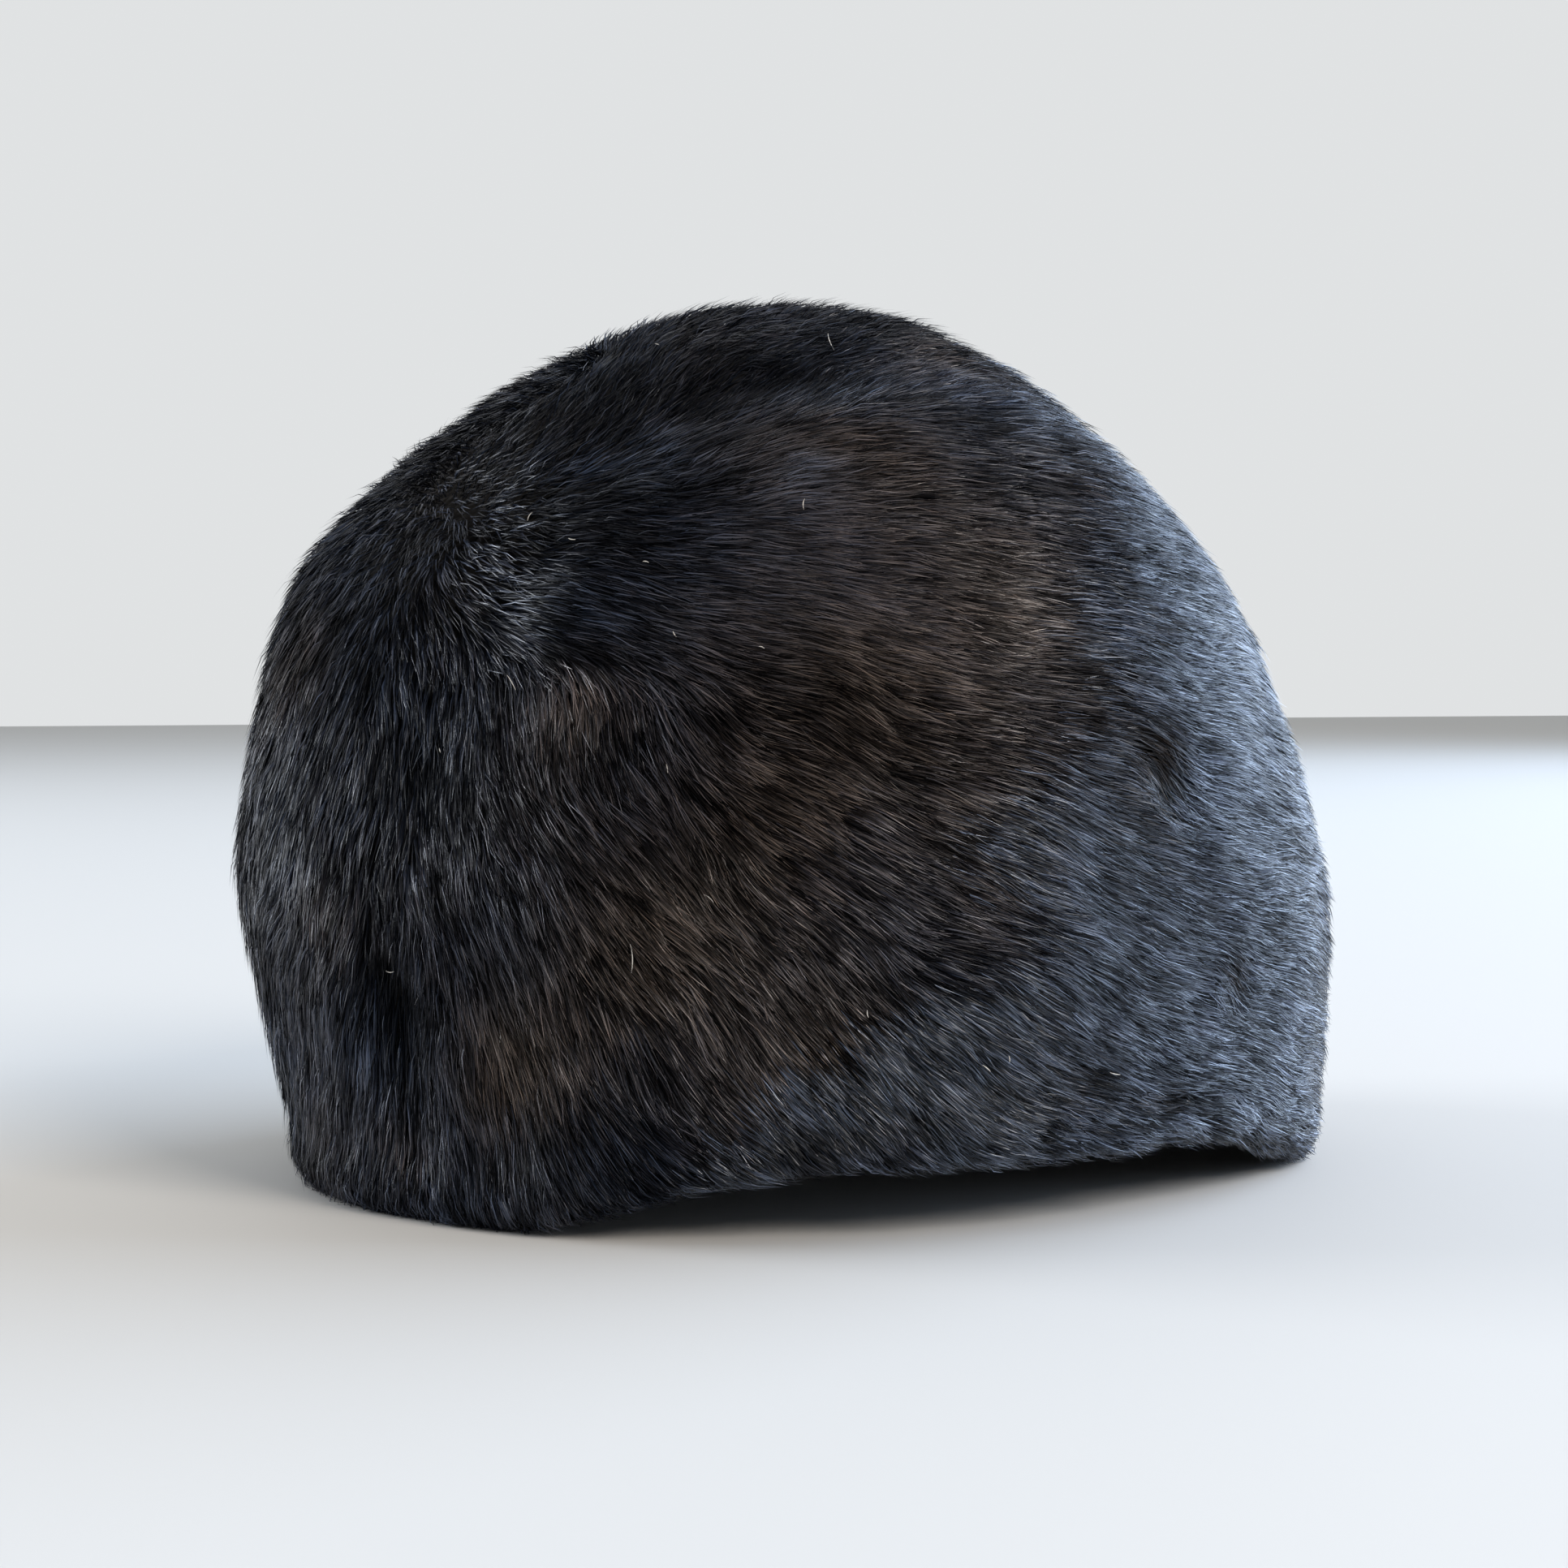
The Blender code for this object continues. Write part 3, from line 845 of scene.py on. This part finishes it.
def fur_material():
    """Fur: dark at the root and paler at the tip, each strand a little different, blue-black or with a
    painted sheen.

    The strands' tone holds the way from root to tip as red, coolness as green, brightness with its painted
    shade and light as blue, and the painted sheen as alpha."""
    inputs = {
        "Roughness": 0.27,
        "Specular Tint": (0.87, 0.93, 1.0, 1.0),
        "Sheen Weight": 0.06,
        "Sheen Roughness": 0.35,
        "Sheen Tint": (0.9, 0.92, 1.0, 1.0),
    }
    material, tree, shader = new_material("brown_black_fur", inputs)
    tone = add(tree, "VertexColor", layer_name="tone")
    painted_sheen = tone.outputs["Alpha"]
    parts = add(tree, "SeparateColor", {"Color": tone.outputs["Color"]}).outputs
    colour = blend(tree, parts["Red"], FUR_ROOT, FUR_BROWN)
    colour = blend(tree, parts["Green"], colour, FUR_COOL)
    # Painted sheen: a paler blue-grey laid over the strands
    colour = blend(tree, painted_sheen, colour, FUR_PAINTED_SHEEN)
    blotches = noise(tree, add(tree, "TexCoord").outputs["Object"], 55.0, 3.0)
    uneven = spread(tree, blotches, 0.7, 1.3, 0.3, 0.7)
    bright = maths(tree, "MULTIPLY", spread(tree, parts["Blue"], *BRIGHT_RANGE), uneven)
    shade = add(tree, "VectorMath", {0: colour, "Scale": bright}, operation="SCALE")
    put(tree, shader, "Base Color", shade.outputs["Vector"])
    gloss = maths(tree, "MULTIPLY_ADD", painted_sheen, 0.75, spread(tree, parts["Blue"], *GLOSS_RANGE))
    gloss = maths(tree, "MULTIPLY", gloss, spread(tree, parts["Red"], 0.15, 1.0))
    put(tree, shader, "Specular IOR Level", gloss)
    return material


def wall_material():
    """The wall below the strands: dense dark underfur outside, knitted cloth with small loops inside."""
    inputs = {"Roughness": 0.9, "Specular IOR Level": 0.2, "Sheen Weight": 0.08}
    material, tree, shader = new_material("underfur_and_cloth", inputs)
    place = add(tree, "TexCoord").outputs["Object"]
    loops = add(tree, "TexVoronoi", {"Vector": place, "Scale": 620.0}).outputs["Distance"]
    knit = maths(tree, "MULTIPLY_ADD", loops, -0.8, noise(tree, place, 140.0, 6.0))
    underfur = blend(tree, noise(tree, place, 900.0, 4.0), UNDERFUR_DARK, UNDERFUR_PALE)
    cloth = blend(tree, knit, CLOTH_DARK, CLOTH_PALE)
    inner = add(tree, "VertexColor", layer_name="inner").outputs["Color"]
    put(tree, shader, "Base Color", blend(tree, inner, underfur, cloth))
    bump = add(tree, "Bump", {"Strength": 0.8, "Distance": 0.0006, "Height": knit})
    put(tree, shader, "Normal", bump.outputs["Normal"])
    return material


def plain_material(name, colour, roughness):
    """A plain material of one colour."""
    inputs = {"Base Color": (*colour, 1.0), "Roughness": roughness, "Specular IOR Level": 0.25}
    return new_material(name, inputs)[0]


def wall_piece(node, material, overlap):
    """The CAD wall below the strands: its fur side drawn in, and its edges moved out by the overlap."""
    points, triangles = welded(node)
    outside = triangles[facing_out(points, triangles, FUR_SIDE)]
    normals = point_normals(points, outside)
    soft = relaxed(points, outside, SOFT_ROUNDS, edge_points(outside, len(points)))
    on_outside = np.zeros(len(points), bool)
    on_outside[outside.ravel()] = True
    points = np.where(on_outside[:, None], soft - normals * ROOT_DEPTH, points)
    if overlap:
        edge = ~facing_out(points, triangles, FUR_SIDE) & facing_out(points, triangles, -FUR_SIDE)
        points = points + point_normals(points, triangles[edge]) * overlap
    name = node + "_wall"
    mesh = bpy.data.meshes.new(name)
    mesh.from_pydata(points.tolist(), [], triangles.tolist())
    mesh.materials.append(material)
    mesh.shade_smooth()
    mesh.set_sharp_from_angle(angle=math.radians(50.0))
    facing = np.sum(point_normals(points, triangles) * unit(points - MIDDLE), axis=1)
    inner = np.ones((len(points), 4), np.float32)
    inner[:, :3] = ease((-0.25 - facing) / 0.4)[:, None]
    layer = mesh.color_attributes.new("inner", "FLOAT_COLOR", "POINT")
    layer.data.foreach_set("color", inner.ravel())
    return add_thing(name, mesh)


def fur_pieces(node, surface, comb, look, seed, material):
    """A node's strands in one mesh or a few, in place of the CAD node."""
    look = dict(look, area=surface.areas.sum())
    lock = dict(look, **LOCKS)
    for number, count in enumerate(STRANDS[node]):
        rng = np.random.default_rng(seed + number)
        places, normals = surface.scatter(count, rng)
        paths, stray, shown = strand_paths(comb, places, normals, rng, look)
        paths, clump_tone = gather(paths, stray, places, normals, comb, rng, look, seed + 50 + number)
        paths, lock_tone = gather(paths, stray, places, normals, comb, rng, lock, seed + 70)
        # Painted shade darkens each strand's random tone, and painted light raises it, where the shade table
        # says
        dark, _ = comb.painted_shade(shown)
        shaded = np.clip(dark, 0, 1)
        mixed = OWN_TONE * rng.random(count) + CLUMP_TONE * clump_tone + LOCK_TONE * lock_tone
        mixed = np.clip(0.5 + TONE_CONTRAST * (mixed - 0.5), 0.0, 1.15)
        bright = mixed**2.7 * (1.0 - shaded) + 0.35 * np.clip(-dark, 0, 1) * (0.4 + 1.2 * mixed)
        bright = bright * np.where(stray, STRAY_BRIGHT, PLAIN_BRIGHT)
        stagger = CLUMP_STAGGER * (clump_tone - 0.5) + LOCK_STAGGER * (lock_tone - 0.5)
        stagger = stagger + OWN_STAGGER * (rng.random(count) - 0.5)
        # Painted sheen: taken away under painted shade, leaning blue-black, and stronger on brighter strands
        painted_sheen = comb.painted_sheen(shown, stagger) * (1.0 - np.clip(1.4 * dark, 0, 1))
        cool = np.maximum(comb.coolness(shown) + 0.3 * (rng.random(count) - 0.5), 0.7 * painted_sheen)
        painted_sheen = painted_sheen * (0.28 + 1.50 * mixed)
        width = look["width"] * np.where(stray, STRAY_WIDTH, 1.0)
        thing = strand_mesh(f"{node}_fur_{number + 1}", paths, normals, width, (cool, bright, painted_sheen), rng)
        thing.data.materials.append(material)
        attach(thing, "root")
        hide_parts(node)


def lint_piece(comb, material):
    """A few pale fibres that cling to the fur, in one mesh of thin curled ribbons."""
    rng = np.random.default_rng(LINT_SEED)
    points, faces = [], []
    for row in SEEN_LINT:
        seen = dict(zip(LINT_COLUMNS, row))
        found = comb.on_hat(seen["x"], seen["y"], seen["turn"])
        if found is None:
            continue
        place, normal, way = found
        across = np.cross(normal, way)
        curl = rng.uniform(-0.5, 0.5)
        first = len(points)
        for step in range(6):
            share = step / 5 - 0.5
            middle = place + way * share * seen["length"] + across * curl * seen["length"] * share**2
            middle = middle + normal * (0.0009 + 0.0006 * (0.25 - share**2))
            half = across * 0.00008 * (1.2 - abs(share) * 1.6)
            points += [middle - half, middle + half]
        faces += [(first + 2 * i, first + 2 * i + 1, first + 2 * i + 3, first + 2 * i + 2) for i in range(5)]
    mesh = bpy.data.meshes.new("lint")
    mesh.from_pydata([tuple(p) for p in points], [], faces)
    mesh.materials.append(material)
    thing = add_thing("lint", mesh)
    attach(thing, "root")
    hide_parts("left_side_panel", "centre_panel")


def make_stage():
    """A plain pale floor that reaches the horizon."""
    bpy.ops.mesh.primitive_plane_add(size=12.0, location=(0, 0, 0))
    floor = bpy.context.object
    floor.name = "floor"
    floor.data.materials.append(plain_material("floor", FLOOR_COLOUR, 0.7))


def make_world():
    """Pale surroundings that are brightest behind the hat and dim on the camera's side."""
    world = bpy.data.worlds.new("surroundings")
    bpy.context.scene.world = world
    world.use_nodes = True
    tree = world.node_tree
    angle = math.radians(CAMERA_AROUND)
    away = (-math.sin(angle), math.cos(angle), 0.0)
    place = add(tree, "TexCoord").outputs["Generated"]
    along = add(tree, "VectorMath", {0: place, 1: away}, operation="DOT_PRODUCT").outputs["Value"]
    inputs = {"Value": along, "From Min": -0.6, "From Max": 0.8, "To Min": WORLD_DIM, "To Max": WORLD_BRIGHT}
    strength = add(tree, "MapRange", inputs, interpolation_type="SMOOTHSTEP").outputs["Result"]
    put(tree, tree.nodes["Background"], "Strength", strength)
    put(tree, tree.nodes["Background"], "Color", (*WORLD_COLOUR, 1.0))


def make_lights():
    """A wide cool window to the right and behind, a weak warm light in front and a soft one on the left."""
    for row in LIGHTS:
        light = dict(zip(LIGHT_COLUMNS, row))
        data = bpy.data.lights.new(light["name"], "AREA")
        data.shape = "RECTANGLE"
        data.size, data.size_y = light["size"]
        data.energy = light["power"]
        data.color = light["colour"]
        lamp = bpy.data.objects.new(light["name"], data)
        angle = math.radians(CAMERA_AROUND + light["around"])
        lamp.location = (math.sin(angle) * light["away"], -math.cos(angle) * light["away"], light["up"])
        aim = Vector((0, 0, 0.09)) - lamp.location
        lamp.rotation_euler = aim.to_track_quat("-Z", "Y").to_euler()
        bpy.context.scene.collection.objects.link(lamp)


def main():
    """Dresses the hat in fur, lights it and frames it."""
    camera = make_camera()
    panels = ("centre_panel", "left_side_panel", "right_side_panel")
    surfaces = {node: Surface(node) for node in panels}
    surfaces["hem_roll"] = Surface("hem_roll", least=-0.2, rounds=0, steepest=0.3)
    comb = Comb(camera, list(surfaces.values()))
    fur = fur_material()
    below = wall_material()
    far_look = dict(PANEL_LOOK, width=PANEL_LOOK["width"] * FAR_SIDE_WIDTH)
    for number, node in enumerate(panels):
        wall = wall_piece(node, below, SEAM_OVERLAP)
        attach(wall, "root")
        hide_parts(node)
        look = far_look if node == "right_side_panel" else PANEL_LOOK
        fur_pieces(node, surfaces[node], comb, look, PANEL_SEED + 10 * number, fur)
    wall = wall_piece("hem_roll", below, 0.0)
    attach(wall, "root")
    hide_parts("hem_roll")
    fur_pieces("hem_roll", surfaces["hem_roll"], comb, HEM_LOOK, HEM_SEED, fur)
    lint_piece(comb, plain_material("lint", LINT_COLOUR, 0.6))
    make_stage()
    make_world()
    make_lights()
    bpy.context.scene.view_settings.view_transform = "Standard"


main()
